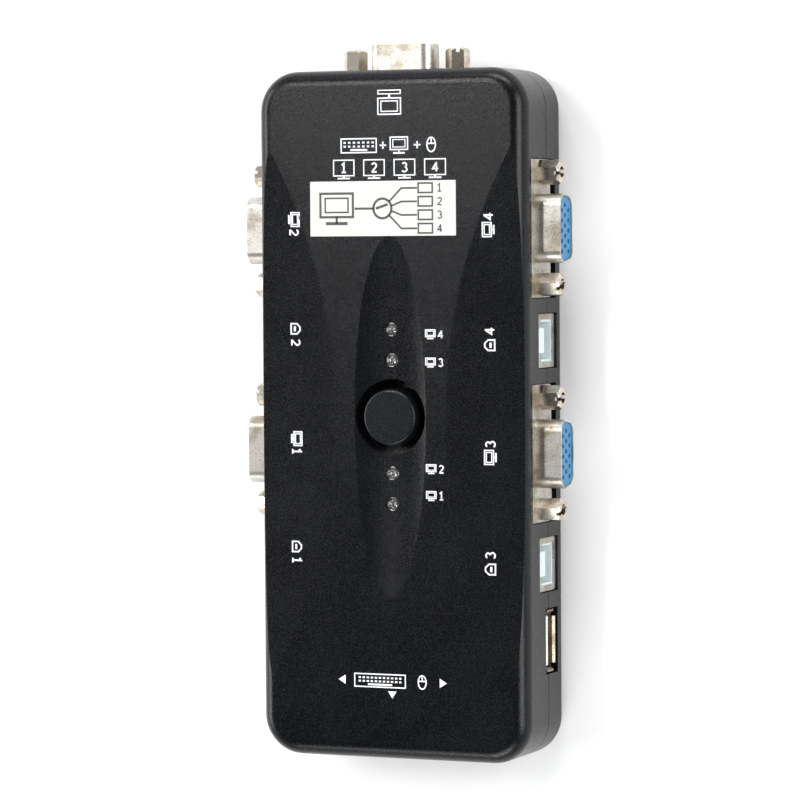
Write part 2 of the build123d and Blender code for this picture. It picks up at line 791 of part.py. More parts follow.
def logic_chips():
    """Four surface-mounted packages: x, y, width and length of each."""
    return group([block(x - w / 2, x + w / 2, y - l / 2, y + l / 2,
                        board_top, board_top + chip_height)
                  for x, y, w, l in chip_places])


def crystal():
    """Low metal can that times the logic."""
    can = Pos(crystal_x, crystal_y, board_top + crystal_height / 2) * Box(
        crystal_width, crystal_length, crystal_height)
    return fillet(can.edges().filter_by(Axis.Z), crystal_corner_radius)


def circuit_board(drilled):
    """Bare board, cut round the screw bosses and drilled for every tail."""
    inset = wall + board_edge_gap
    board = slab(inset, board_bottom, board_top)
    cuts = [post(boss_radius + port_gap * 2, sx * screw_x, sy * screw_y, 0, crest)
            for sx, sy in corner_signs]
    holes = [post(contact_rod_radius + tail_clearance, x, y, 0, parting)
             for x, y in switch_pin_places()]
    holes += [post(led_lead_side / 2 * math.sqrt(2) + tail_clearance, x, y, 0, parting)
              for x, y in led_lead_places()]
    return board - cuts - holes - drilled


def vga_drills():
    """Holes under one VGA connector, in its own frame."""
    holes = [post(contact_rod_radius + tail_clearance,
                  -(vga_first_tail + (2 - row) * vga_tail_pitch), y, -2 * tail_depth, 1)
             for row, y, _ in vga_pin_places()]
    holes += [post(vga_prong_radius + tail_clearance, vga_deep + vga_prong_setback,
                   side * vga_jackscrew_spacing / 2, -2 * tail_depth, 1)
              for side in (-1, 1)]
    return holes


def tail_slots(shell, contacts):
    """Slots under a USB connector: the tails and prongs, each grown by the clearance."""
    slots = []
    for solid in list(shell.solids()) + list(contacts.solids()):
        below = solid & block(-50, 50, -50, 50, -2 * tail_depth, -0.05)
        for piece in below.solids() if below else []:
            box = piece.bounding_box()
            slots.append(block(box.min.X - tail_clearance, box.max.X + tail_clearance,
                               box.min.Y - tail_clearance, box.max.Y + tail_clearance,
                               -2 * tail_depth, 1))
    return slots


# ---------------------------------------------------------------- assembly
def build_all():
    nodes = {}
    body, room, openings = outer_body(), cavity(), port_openings()
    nodes["top_cover"] = top_cover(body, room, openings)
    nodes["bottom_cover"] = bottom_cover(body, room, openings)
    nodes["rubber_feet"] = rubber_feet()
    nodes["cover_screws"] = cover_screws()
    nodes["name_label"] = name_label()

    drilled = []
    vga = {"shell": vga_shell(), "insulator": vga_insulator(),
           "contacts": vga_contacts(), "bracket": vga_bracket()}
    for port, (side, along) in vga_ports.items():
        place = port_frame(side, along, vga_recess)
        for piece, shape in vga.items():
            nodes[f"vga_{port}_{piece}"] = place * shape
        drilled += [place * hole for hole in vga_drills()]
    nodes["jackscrews"] = jackscrews()

    pins = usb_b_contacts()
    usb_b = {"shell": usb_b_shell(), "insulator": usb_b_insulator(pins), "contacts": pins}
    for port, (side, along) in usb_b_ports.items():
        place = port_frame(side, along, usb_b_recess)
        for piece, shape in usb_b.items():
            nodes[f"usb_{port}_{piece}"] = place * shape
        drilled += [place * slot for slot in tail_slots(usb_b["shell"], pins)]

    pins = usb_a_contacts()
    usb_a = {"shell": usb_a_shell(), "insulator": usb_a_insulator(pins)}
    console_pins = []
    for port, (side, along) in usb_a_ports.items():
        place = port_frame(side, along, usb_a_recess)
        for piece, shape in usb_a.items():
            nodes[f"console_{port}_{piece}"] = place * shape
        console_pins += [place * strip for strip in pins.solids()]
        drilled += [place * slot for slot in tail_slots(usb_a["shell"], pins)]
    nodes["console_contacts"] = group(console_pins)

    nodes["select_button"] = select_button()
    nodes["switch_plunger"] = switch_plunger()
    nodes["switch_body"] = switch_body()
    nodes["switch_base"] = switch_base()
    nodes["switch_terminals"] = switch_terminals()
    nodes["switch_spring"] = switch_spring()
    for port, y in led_places.items():
        nodes[f"led_{port}"] = led(y)
    nodes["led_leads"] = led_leads()
    nodes["logic_chips"] = logic_chips()
    nodes["crystal"] = crystal()
    nodes["circuit_board"] = circuit_board(drilled)
    return nodes


os.makedirs("parts", exist_ok=True)
for name, shape in build_all().items():
    export_step(Pos(0, origin_shift_y, 0) * shape, f"parts/{name}.step")
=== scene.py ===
import bpy
import numpy as np
from mathutils import Matrix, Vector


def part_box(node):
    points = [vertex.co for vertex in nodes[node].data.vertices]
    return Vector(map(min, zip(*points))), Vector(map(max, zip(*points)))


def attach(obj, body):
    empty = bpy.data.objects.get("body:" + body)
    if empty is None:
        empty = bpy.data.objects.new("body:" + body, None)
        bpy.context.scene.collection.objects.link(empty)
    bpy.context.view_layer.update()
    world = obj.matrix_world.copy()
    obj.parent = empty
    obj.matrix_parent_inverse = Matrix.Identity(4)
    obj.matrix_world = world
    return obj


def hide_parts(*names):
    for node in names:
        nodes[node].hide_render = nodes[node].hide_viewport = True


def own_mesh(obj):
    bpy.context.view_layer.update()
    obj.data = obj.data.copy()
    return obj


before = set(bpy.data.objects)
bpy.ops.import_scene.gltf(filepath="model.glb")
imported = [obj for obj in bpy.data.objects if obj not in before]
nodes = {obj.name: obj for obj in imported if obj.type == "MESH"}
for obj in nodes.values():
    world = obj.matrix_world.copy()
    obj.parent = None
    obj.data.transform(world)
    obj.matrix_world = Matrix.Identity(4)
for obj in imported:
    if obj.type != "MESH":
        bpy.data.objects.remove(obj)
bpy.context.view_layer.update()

mm = 0.001

# ------------------------------------------------------------------ bottom cover
# The lower half of the case: black ABS, injection moulded in one piece with its screw
# bosses. The mould is spark-etched, which leaves a fine, even grain on every outside face.


class Wire:
    """An output socket of a node tree. Sums, differences and products of wires and numbers
    add the Math nodes that work them out, and node() adds any other node."""

    def __init__(self, tree, socket=None):
        self.tree = tree
        self.socket = socket

    def node(self, kind, settings, inputs, output=0):
        made = self.tree.nodes.new("ShaderNode" + kind)
        for name, value in settings.items():
            if name == "stops":
                ramp = made.color_ramp.elements
                for index, (place, colour) in enumerate(value):
                    stop = ramp[index] if index < 2 else ramp.new(place)
                    stop.position = place
                    stop.color = (*colour, 1)
            else:
                setattr(made, name, value)
        for name, value in inputs.items():
            if isinstance(value, Wire):
                self.tree.links.new(value.socket, made.inputs[name])
            else:
                made.inputs[name].default_value = value
        return Wire(self.tree, made.outputs[output])

    def maths(self, operation, first, second):
        return self.node("Math", {"operation": operation}, {0: first, 1: second})

    def __add__(self, other):
        return self.maths("ADD", self, other)

    def __sub__(self, other):
        return self.maths("SUBTRACT", self, other)

    def __mul__(self, other):
        return self.maths("MULTIPLY", self, other)

    def __rsub__(self, other):
        return self.maths("SUBTRACT", other, self)

    __radd__ = __add__
    __rmul__ = __mul__


def noise(place, size, detail=2.0, roughness=0.5):
    """Cloudy values from 0 to 1 whose patches are about this size, in metres."""
    return place.node("TexNoise", {}, {"Vector": place, "Scale": 1 / size,
                                       "Detail": detail, "Roughness": roughness})


def steps(value, low, high):
    """0 below low, 1 above high and a smooth rise between."""
    return value.node("MapRange", {"interpolation_type": "SMOOTHSTEP"},
                      {"Value": value, "From Min": low, "From Max": high})


def between(mask, first, second):
    """The first colour where the mask is 0, the second where it is 1."""
    first = first if isinstance(first, Wire) else (*first, 1)
    second = second if isinstance(second, Wire) else (*second, 1)
    return mask.node("Mix", {"data_type": "RGBA"}, {0: mask, 6: first, 7: second}, 2)


def relief(height, depth, strength=1.0):
    """The surface normal that a height from 0 to 1 gives, depth metres from low to high."""
    return height.node("Bump", {}, {"Strength": strength, "Distance": depth,
                                    "Height": height}, "Normal")


def new_finish(name):
    """A finish without any looks yet, and the wire that carries the place on the piece."""
    finish = bpy.data.materials.new(name)
    finish.use_nodes = True
    place = Wire(finish.node_tree).node("TexCoord", {}, {}, "Object")
    return finish, place


def set_looks(finish, looks):
    """Plugs each wire, or sets each plain value, into the shader's socket of that name."""
    shader = finish.node_tree.nodes["Principled BSDF"]
    for name, value in looks.items():
        if isinstance(value, Wire):
            finish.node_tree.links.new(value.socket, shader.inputs[name])
        else:
            shader.inputs[name].default_value = value
    return finish


def dress(finish, *names):
    """Gives CAD nodes their finish."""
    for name in names:
        for holder in nodes[name].material_slots:
            holder.material = finish


def etched_plastic(name, dark, light, grain, depth, gloss):
    """Moulded black plastic: grain-sized bumps whose tops get a painted glint, a paler
    colour standing in for the light they catch, a cloudy sheen and a few specks of dust."""
    finish, place = new_finish(name)
    cloud = noise(place, 14 * mm, 3)
    fine = noise(place, grain, 3, 0.65)
    dust = steps(noise(place, 0.55 * mm, 1), 0.79, 0.82)
    body = between(steps(cloud, 0.3, 0.7), dark, light)
    # Painted glint: grain tops get a colour 2.2 times the light tone, standing in for the
    # light they catch.
    painted_glint_colour = [2.2 * level for level in light]
    body_and_painted_glints = between(steps(fine, 0.48, 0.70) * 0.28, body, painted_glint_colour)
    return set_looks(finish, {
        "Base Color": between(dust * 0.25, body_and_painted_glints, (0.10, 0.10, 0.11)),
        "Roughness": gloss + 0.05 * cloud + 0.14 * steps(fine, 0.38, 0.66),
        "Normal": relief(fine, depth, 0.9),
        "Specular IOR Level": 0.32,
        "IOR": 1.45})


case_plastic = etched_plastic("case_plastic", (0.0022, 0.0026, 0.0033),
                              (0.0036, 0.0041, 0.0051), 0.34 * mm, 0.040 * mm, 0.17)
dress(case_plastic, "bottom_cover")

# ------------------------------------------------------------------ feet
# Four rubber discs pressed into round seats under the bottom cover. Moulded black rubber
# with a dull, slightly chalky face.

foot_rubber, place = new_finish("foot_rubber")
chalk = noise(place, 2.5 * mm, 4)
set_looks(foot_rubber, {
    "Base Color": between(steps(chalk, 0.35, 0.75), (0.014, 0.014, 0.014),
                          (0.032, 0.031, 0.030)),
    "Roughness": 0.72 + 0.2 * chalk,
    "Normal": relief(noise(place, 0.18 * mm, 2), 0.02 * mm, 0.6)})
dress(foot_rubber, "rubber_feet")

# ------------------------------------------------------------------ board and its parts
# Glass-fibre laminate under green solder mask, with copper tracks showing faintly through.
# It carries four black packages, a plated crystal can and the tinned legs of the lamps.

board_laminate, place = new_finish("board_laminate")
track_lines = place.node("TexVoronoi", {"distance": "MANHATTAN",
                                        "feature": "DISTANCE_TO_EDGE"},
                         {"Vector": place, "Scale": 1 / (2.6 * mm)}, "Distance")
tracks = steps(track_lines, 0.06, 0.11)
set_looks(board_laminate, {
    "Base Color": between(tracks, (0.030, 0.17, 0.060), (0.010, 0.085, 0.035)),
    "Roughness": 0.30 + 0.12 * noise(place, 4 * mm, 3),
    "Normal": relief(1 - tracks, 0.03 * mm),
    "Coat Weight": 0.4})
dress(board_laminate, "circuit_board")

chip_plastic, place = new_finish("chip_plastic")
chip_grain = noise(place, 0.12 * mm, 3)
set_looks(chip_plastic, {
    "Base Color": between(chip_grain, (0.012, 0.012, 0.013), (0.030, 0.030, 0.032)),
    "Roughness": 0.55 + 0.2 * chip_grain,
    "Normal": relief(chip_grain, 0.01 * mm)})
dress(chip_plastic, "logic_chips")


def bare_metal(name, bright, dull, gloss, patch, scratch=0.012 * mm):
    """Plain or plated metal: clouded by handling and finely scratched along Y."""
    finish, place = new_finish(name)
    cloud = noise(place, patch, 4, 0.6)
    along = place.node("Mapping", {}, {"Vector": place, "Scale": (1.0, 0.08, 1.0)})
    drawn = noise(along, 0.09 * mm, 3, 0.6)
    return set_looks(finish, {
        "Base Color": between(steps(cloud, 0.38, 0.72), bright, dull),
        "Metallic": 1.0,
        "Roughness": gloss + 0.16 * cloud + 0.06 * drawn,
        "Normal": relief(drawn, scratch, 0.5)})


dress(bare_metal("can_steel", (0.74, 0.74, 0.73), (0.58, 0.57, 0.55), 0.18, 3 * mm),
      "crystal")
lead_tin = bare_metal("lead_tin", (0.76, 0.76, 0.77), (0.55, 0.55, 0.55), 0.22, 1 * mm)
dress(lead_tin, "led_leads", "switch_terminals")

# ------------------------------------------------------------------ video sockets
# Five 15-pin sockets. The flange and the D-shaped shroud are one pressing of nickel-plated
# steel, round a blue moulding that holds gold-flashed contacts, on a folded bracket.

ports = ("monitor", "pc1", "pc2", "pc3", "pc4")


def plated_pressing(name, bright, warm, stain):
    """Nickel over pressed steel: a soft shine that dents and bends a little, with warm
    clouds, and brown stain gathered in small scattered patches."""
    finish, place = new_finish(name)
    cloud = noise(place, 5 * mm, 3)
    wavy = noise(place, 3.2 * mm, 2, 0.4)
    pits = steps(noise(place, 0.40 * mm, 3, 0.6), 0.54, 0.68)
    metal = between(steps(cloud, 0.42, 0.66), bright, warm)
    stained = pits * steps(noise(place, 4 * mm, 2), 0.32, 0.56)
    return set_looks(finish, {
        "Base Color": between(stained * 0.8, metal, stain),
        "Metallic": 1.0,
        "Roughness": 0.32 + 0.10 * cloud + 0.25 * stained,
        "Normal": relief(wavy + 0.12 * noise(place, 0.2 * mm, 2) - 0.3 * pits,
                         0.07 * mm, 0.5)})


shell_nickel = plated_pressing("shell_nickel", (0.62, 0.60, 0.555), (0.38, 0.335, 0.27),
                               (0.14, 0.09, 0.055))
dress(shell_nickel, *[f"vga_{port}_shell" for port in ports],
      *[f"vga_{port}_bracket" for port in ports])


def moulded_insulator(name, dark, light, gloss):
    """Glass-filled moulding: near-even colour, faint flow clouds and a fine matt face."""
    finish, place = new_finish(name)
    flow = noise(place, 2.2 * mm, 3)
    matt = noise(place, 0.10 * mm, 2)
    return set_looks(finish, {
        "Base Color": between(flow, dark, light),
        "Roughness": gloss + 0.12 * matt,
        "Normal": relief(matt, 0.008 * mm)})


vga_blue = moulded_insulator("vga_blue_plastic", (0.024, 0.15, 0.32), (0.038, 0.21, 0.40),
                             0.38)
dress(vga_blue, *[f"vga_{port}_insulator" for port in ports])

contact_gold, place = new_finish("contact_gold")
wear = noise(place, 0.6 * mm, 3)
set_looks(contact_gold, {
    "Base Color": between(wear, (0.83, 0.62, 0.26), (0.66, 0.50, 0.27)),
    "Metallic": 1.0,
    "Roughness": 0.22 + 0.2 * wear,
    "Normal": relief(noise(place, 0.08 * mm, 2), 0.006 * mm)})
dress(contact_gold, *[f"vga_{port}_contacts" for port in ports])

# ------------------------------------------------------------------ jackscrews
# Hexagonal posts beside every video socket: turned steel bar, nickel plated, slotted and
# bored at the free end, with a stud that passes through the flange into the bracket.

jackscrew_nickel = bare_metal("jackscrew_nickel", (0.72, 0.67, 0.59), (0.46, 0.38, 0.29),
                              0.14, 2.2 * mm, 0.003 * mm)
dress(jackscrew_nickel, "jackscrews")

# ------------------------------------------------------------------ computer USB sockets
# Four square sockets for the computers: folded nickel-plated cans round a pale, slightly
# blue moulding with a tongue that carries the contacts.

computers = ports[1:]
dress(shell_nickel, *[f"usb_{port}_shell" for port in computers])
dress(contact_gold, *[f"usb_{port}_contacts" for port in computers])
usb_pale = moulded_insulator("usb_pale_plastic", (0.60, 0.70, 0.72), (0.76, 0.83, 0.84),
                             0.32)
dress(usb_pale, *[f"usb_{port}_insulator" for port in computers])

# ------------------------------------------------------------------ console sockets
# Three flat sockets for keyboard and mouse: folded nickel-plated sleeves whose lips flare
# outwards, each round an off-white moulded tongue.

console = ("left", "right", "end")
# Painted shade: this nickel is darker and browner than the same plating on the video
# sockets, standing in for the shade inside the sleeves.
shaded_console_nickel = plated_pressing("shaded_console_nickel", (0.38, 0.33, 0.26), (0.22, 0.17, 0.11),
                                 (0.10, 0.065, 0.045))
dress(shaded_console_nickel, *[f"console_{side}_shell" for side in console])
console_pale = moulded_insulator("console_pale_plastic", (0.76, 0.74, 0.69),
                                 (0.86, 0.84, 0.79), 0.36)
dress(console_pale, *[f"console_{side}_insulator" for side in console])
dress(contact_gold, "console_contacts")

# ------------------------------------------------------------------ select switch
# A small push switch without a latch, soldered to the board: black housing and base, white
# acetal plunger, and a coiled steel wire that, in the real switch, shortens as the button
# goes down; here it is one fixed piece on the case.

switch_plastic = moulded_insulator("switch_plastic", (0.012, 0.012, 0.013),
                                   (0.026, 0.026, 0.028), 0.25)
dress(switch_plastic, "switch_body", "switch_base")
plunger_plastic = moulded_insulator("plunger_plastic", (0.70, 0.69, 0.65),
                                    (0.80, 0.79, 0.76), 0.22)
dress(plunger_plastic, "switch_plunger")
spring_steel = bare_metal("spring_steel", (0.60, 0.60, 0.61), (0.42, 0.41, 0.40), 0.20,
                          1 * mm)


sharp_from = np.radians(40)
upward = np.array((0, 0, 1.0))


def around(count, per_turn):
    """So many angles in radians, from 0 up, spaced by a full turn over per_turn."""
    return np.arange(count) * 2 * np.pi / per_turn


def skin(rings, loop=False):
    """Points and faces of the closed surface over rings[i, j], point j of the profile at
    station i. Neighbouring stations are joined by four-sided faces; a path that isn't a
    loop gets its first and last profile as flat ends. If the volume, a sixth of the sum of
    the triangles' triple products, is negative, every face is turned round."""
    n, m = rings.shape[:2]
    i = np.arange(n if loop else n - 1)[:, None]
    j = np.arange(m)[None, :]
    ahead, beside = (i + 1) % n, (j + 1) % m
    quads = np.stack([i * m + j, i * m + beside, ahead * m + beside, ahead * m + j], -1)
    quads = quads.reshape(-1, 4)
    fan = np.stack([np.zeros(m - 2, int), np.arange(1, m - 1), np.arange(2, m)], -1)
    ends = [] if loop else [fan[:, ::-1], fan + (n - 1) * m]
    points = rings.reshape(-1, 3)
    corners = (points - points.mean(0))[np.concatenate([quads[:, :3], quads[:, [0, 2, 3]],
                                                        *ends])]
    volume = np.einsum("ij,ij->", corners[:, 0], np.cross(corners[:, 1], corners[:, 2]))
    faces = quads.tolist()
    if not loop:
        faces += [list(range(m))[::-1], list(range((n - 1) * m, n * m))]
    if volume < 0:
        faces = [face[::-1] for face in faces]
    return points, faces


def piece(name, skins, body, finish, smooth=True):
    """One object out of several closed skins, riding on a body, with its finish."""
    starts = np.cumsum([0] + [len(points) for points, _ in skins])
    points = np.concatenate([points for points, _ in skins])
    faces = [[corner + start for corner in face]
             for start, (_, skin_faces) in zip(starts, skins) for face in skin_faces]
    mesh = bpy.data.meshes.new(name)
    mesh.from_pydata(points.tolist(), [], faces)
    mesh.polygons.foreach_set("use_smooth", np.full(len(faces), smooth))
    mesh.materials.append(finish)
    made = bpy.data.objects.new(name, mesh)
    bpy.context.scene.collection.objects.link(made)
    if smooth:
        mesh.set_sharp_from_angle(angle=sharp_from)
    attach(made, body)
    return made


spring_wire = 0.175 * mm
spring_radius = 1.8 * mm
spring_turns = 5
points_a_turn = 24
wire_sides = 10

low, high = np.array(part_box("switch_spring"))
centre_x, centre_y = (low[:2] + high[:2]) / 2
turn = around(spring_turns * points_a_turn + 1, points_a_turn)
flat = np.zeros_like(turn)
radial = np.stack([np.cos(turn), np.sin(turn), flat], -1)
level = np.linspace(low[2] + spring_wire, high[2] - spring_wire, len(turn))
spring_line = spring_radius * radial + np.stack([flat + centre_x, flat + centre_y, level],
                                                -1)
wire_turn = around(wire_sides, wire_sides)[:, None]
spring_rings = spring_line[:, None] + spring_wire * (
    np.cos(wire_turn) * radial[:, None] + np.sin(wire_turn) * upward)
return_spring = piece("return_spring", [skin(spring_rings)], "case", spring_steel)
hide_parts("switch_spring")
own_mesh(return_spring)

# ------------------------------------------------------------------ lamps
# Four clear epoxy lamps, 3 mm across. Inside each, a plated leg widens into a cup that
# holds the chip, and a second leg stands beside it.

lamp_epoxy, place = new_finish("lamp_epoxy")
set_looks(lamp_epoxy, {
    "Base Color": between(noise(place, 1.5 * mm, 2), (0.78, 0.80, 0.79),
                          (0.88, 0.90, 0.89)),
    "Roughness": 0.03 + 0.05 * noise(place, 0.6 * mm, 3),
    "Normal": relief(noise(place, 0.8 * mm, 2), 0.01 * mm, 0.4),
    "Transmission Weight": 1.0,
    "IOR": 1.5})
dress(lamp_epoxy, *[f"led_{port}" for port in computers])


def turned(stations, centre, count):
    """A body turned about an upright axis: each station is a circle's height and radius,
    and the circle's points lie at its radius times the cosine and sine of count angles."""
    turn = around(count, count)
    circle = np.stack([np.cos(turn), np.sin(turn), np.zeros(count)], -1)
    heights, radii = np.asarray(stations, float).T[..., None, None]
    return centre + heights * upward + radii * circle


leg_silver = bare_metal("leg_silver", (0.66, 0.66, 0.64), (0.44, 0.43, 0.41), 0.16,
                        0.6 * mm)
chip_grey, place = new_finish("lamp_chip")
set_looks(chip_grey, {
    "Base Color": between(noise(place, 0.05 * mm, 2), (0.44, 0.42, 0.34),
                          (0.62, 0.60, 0.50)),
    "Roughness": 0.35 + 0.1 * noise(place, 0.03 * mm, 2)})

cup_profile = [(-0.55 * mm, 0.36 * mm), (-0.12 * mm, 0.60 * mm), (0.30 * mm, 0.86 * mm),
               (0.33 * mm, 0.84 * mm), (0.33 * mm, 0.78 * mm), (0.30 * mm, 0.74 * mm),
               (-0.05 * mm, 0.42 * mm), (-0.09 * mm, 0.34 * mm)]
cup_leg = [(-1.2 * mm, 0.28 * mm, 0.25 * mm), (-0.8 * mm, 0.55 * mm, 0.25 * mm),
           (-0.5 * mm, 0.58 * mm, 0.25 * mm)]
second_leg = [(-0.6 * mm, 0.2 * mm, 0.25 * mm), (0.25 * mm, 0.13 * mm, 0.25 * mm)]
chip_block = [(-0.10 * mm, 0.15 * mm, 0.15 * mm), (0.04 * mm, 0.15 * mm, 0.15 * mm),
              (0.06 * mm, 0.12 * mm, 0.12 * mm)]
cup_below_top = 2.25 * mm
cup_sides = 32
cup_off_centre = 0.15 * mm
second_leg_from_cup = 1.10 * mm
foot_rise = 0.3 * mm
cups, chips = [], []


def upright_bar(centre, stations):
    """A bar that stands along Z: each station is its height, and half its width along X
    and along Y, there."""
    heights, wide, deep = np.asarray(stations, float).T
    square = np.array([(-1, -1), (1, -1), (1, 1), (-1, 1)], float)
    flat = square[None] * np.stack([wide, deep], -1)[:, None]
    level = np.repeat(heights[:, None], 4, 1)[..., None]
    return centre + np.concatenate([flat, level], -1)


for port in computers:
    low, high = np.array(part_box(f"led_{port}"))
    centre = (low + high) / 2
    cup = np.array((centre[0] - cup_off_centre, centre[1], high[2] - cup_below_top))
    post = cup + (second_leg_from_cup, 0, 0)
    foot = low[2] - cup[2] + foot_rise
    cups += [skin(turned(cup_profile, cup, cup_sides)),
             skin(upright_bar(cup, [(foot, 0.25 * mm, 0.25 * mm), *cup_leg])),
             skin(upright_bar(post, [(foot, 0.2 * mm, 0.25 * mm), *second_leg]))]
    chips.append(skin(upright_bar(cup, chip_block)))
piece("lamp_frames", cups, "case", leg_silver)
piece("lamp_chips", chips, "case", chip_grey, smooth=False)

# ------------------------------------------------------------------ button
# The round select button: black ABS like the case, but from a polished mould, so it is
# smoother than the cover round it and its rim catches the light.

button_plastic = etched_plastic("button_plastic", (0.0036, 0.0046, 0.0060),
                                (0.0060, 0.0075, 0.0095), 0.22 * mm, 0.010 * mm, 0.19)
dress(button_plastic, "select_button")

# ------------------------------------------------------------------ top cover
# The upper half of the case, with the scalloped sides, the long hollow, the button's well
# and the lamps' holes. Same etched black ABS as the lower half.

dress(case_plastic, "top_cover")

# ------------------------------------------------------------------ cover screws
# Self-tapping cross-slotted screws, zinc plated, driven up into the top cover's bosses.

dress(bare_metal("screw_steel", (0.56, 0.56, 0.58), (0.40, 0.40, 0.40), 0.24, 1.5 * mm),
      "cover_screws")

# ------------------------------------------------------------------ white print
# Signs and numbers in white pad-printing ink, two hundredths of a millimetre proud of the
# top cover: screens for the video sockets, square plugs for the USB sockets, a keyboard
# and a mouse for the flat ones, and each computer's number.

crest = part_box("name_label")[0][2]
cover_low, cover_high = np.array(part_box("top_cover"))
middle_y = (cover_low[1] + cover_high[1]) / 2
scallop_radius = 121.5 * mm
scallop_crease = 13.5 * mm
scallop_fall = 0.079
ink_sunk = 0.03 * mm
ink_thick = 0.02 * mm


def cover_height(x, y):
    """Height of the top cover: its crest, less the fall times how far a point lies inside
    the circle that bounds the scallop on its side."""
    from_centre = np.hypot(np.abs(x) - scallop_crease - scallop_radius, y - middle_y)
    return crest - scallop_fall * np.maximum(scallop_radius - from_centre, 0)


def stroke(path, width, closed=False):
    """The two edges of a drawn line: each point of the path is set off by half the width
    along the mitre, the sum of the neighbouring normals over one plus their product."""
    path = np.asarray(path, float)
    ahead = np.roll(path, -1, 0) - path
    if not closed:
        ahead[-1] = ahead[-2]
    ahead /= np.linalg.norm(ahead, axis=1, keepdims=True)
    normal = ahead[:, ::-1] * (-1, 1)
    before = np.roll(normal, 1, 0)
    if not closed:
        before[0] = normal[0]
    mitre = (before + normal) / (1 + (before * normal).sum(1, keepdims=True))
    half = mitre * np.broadcast_to(width, len(path))[:, None] / 2
    return path + half, path - half, closed


def placed(strokes, x, y, turn=0.0):
    """The strokes turned anticlockwise by so many degrees, then moved, in millimetres."""
    c, s = np.cos(np.radians(turn)), np.sin(np.radians(turn))
    spin = np.array([[c, s], [-s, c]])
    return [(left @ spin + (x, y), right @ spin + (x, y), closed)
            for left, right, closed in strokes]


def inked(strokes, level, y_zero):
    """Slabs of ink over flat strokes: four edges carried along each stroke, two sunk into
    the surface and two standing out of it. level(x, y) is the surface's height."""
    skins = []
    for left, right, closed in strokes:
        corners = []
        for edge, rise in ((left, -ink_sunk), (right, -ink_sunk),
                           (right, ink_thick), (left, ink_thick)):
            x, y = edge[:, 0] * mm, edge[:, 1] * mm + y_zero
            corners.append(np.stack([x, y, level(x, y) + rise], -1))
        skins.append(skin(np.stack(corners, 1), closed))
    return skins


def frame_of(width, height, line, x=0.0, y=0.0):
    """An outlined rectangle."""
    corners = np.array([(-1, -1), (1, -1), (1, 1), (-1, 1)]) * (width / 2, height / 2)
    return stroke(corners + (x, y), line, closed=True)


def rule(x0, y0, x1, y1, width):
    """A straight line between two points."""
    return stroke([(x0, y0), (x1, y1)], width)


def screen_sign(width, line):
    """A monitor: two nested outlines, its stem and its foot, standing on Y = 0."""
    high = 0.66 * width
    stem = 0.18 * width
    return [frame_of(width, high, line, 0, stem + high / 2),
            frame_of(0.70 * width, 0.60 * high, 0.7 * line, 0, stem + high / 2),
            rule(0, 0, 0, stem, line), rule(-width / 3, 0, width / 3, 0, 1.3 * line)]


def keyboard_sign(width, height, line):
    """A keyboard: an outline with two rows of keys and a space bar."""
    strokes = [frame_of(width, height, line)]
    key_pitch, half_key, key_height = 1.1, 0.28, 0.4
    for row in (0.22 * height, -0.06 * height):
        for key in np.linspace(-0.40, 0.40, int(width / key_pitch)) * width:
            strokes.append(rule(key - half_key, row, key + half_key, row, key_height))
    half_bar, bar = 0.24 * width, -0.31 * height
    strokes.append(rule(-half_bar, bar, half_bar, bar, key_height))
    return strokes


def oval(turn, half_width, half_height, x=0.0, y=0.0):
    """The points of an ellipse at these angles: its middle, plus half its width times the
    cosine and half its height times the sine."""
    return np.stack([x + half_width * np.cos(turn), y + half_height * np.sin(turn)], -1)


def mouse_sign(height, line):
    """A mouse: an oval outline, the line between its buttons and the one behind them."""
    outline = oval(around(20, 20), 0.32 * height, 0.5 * height)
    behind = 0.08 * height
    return [stroke(outline, line, closed=True), rule(0, behind, 0, 0.48 * height, line),
            rule(-0.30 * height, behind, 0.30 * height, behind, line)]


def square_plug_sign(size, line):
    """A square plug seen from its end, two corners cut off, with its tongue."""
    h = size / 2
    outline = [(-h, -h), (h, -h), (h, h / 3), (h / 3, h), (-h / 3, h), (-h, h / 3)]
    return [stroke(outline, line, closed=True),
            rule(-h / 2, -h / 6, h / 2, -h / 6, 1.5 * line)]


def arrow_sign(length, width):
    """A solid triangle that points along +X, drawn as a line that narrows to its tip."""
    tip = 0.04
    return [stroke([(-length / 2, 0), (length / 2, 0)], (width, tip))]


def number_strokes(number, height):
    """The digits 1 to 4 as strokes, their left edge at X = 0 and centred on Y = 0."""
    bow_points = 12

    def bow_of(start, stop, *sizes):
        return oval(np.radians(np.linspace(start, stop, bow_points)), *sizes)

    bow = bow_of(155, -45, 0.27, 0.26, 0.31, 0.71)
    round_top = bow_of(150, -80, 0.25, 0.22, 0.30, 0.75)
    round_low = bow_of(80, -150, 0.29, 0.26, 0.30, 0.28)
    shapes = {1: [[(0.08, 0.80), (0.32, 1.0), (0.32, 0.0)], [(0.08, 0.03), (0.56, 0.03)]],
              2: [[*bow, (0.05, 0.04)], [(0.02, 0.04), (0.62, 0.04)]],
              3: [round_top, round_low],
              4: [[(0.46, 0.0), (0.46, 1.0)], [(0.46, 0.97), (0.04, 0.30), (0.66, 0.30)]]}
    pen = 0.17 * height
    return [stroke((np.asarray(line) - (0, 0.5)) * height, pen)
            for line in shapes[number]]


white_print = []
fine_line = 0.30
keyboard_line = 0.28
finest_line = 0.24
monitor_sign_y = 69.2
white_print += placed([frame_of(5.5, 3.6, fine_line), frame_of(4.0, 2.3, finest_line),
                       rule(0, 1.85, 0, 2.8, 0.5),
                       frame_of(5.4, 0.8, finest_line, 0, 3.15)], 0.3, monitor_sign_y)

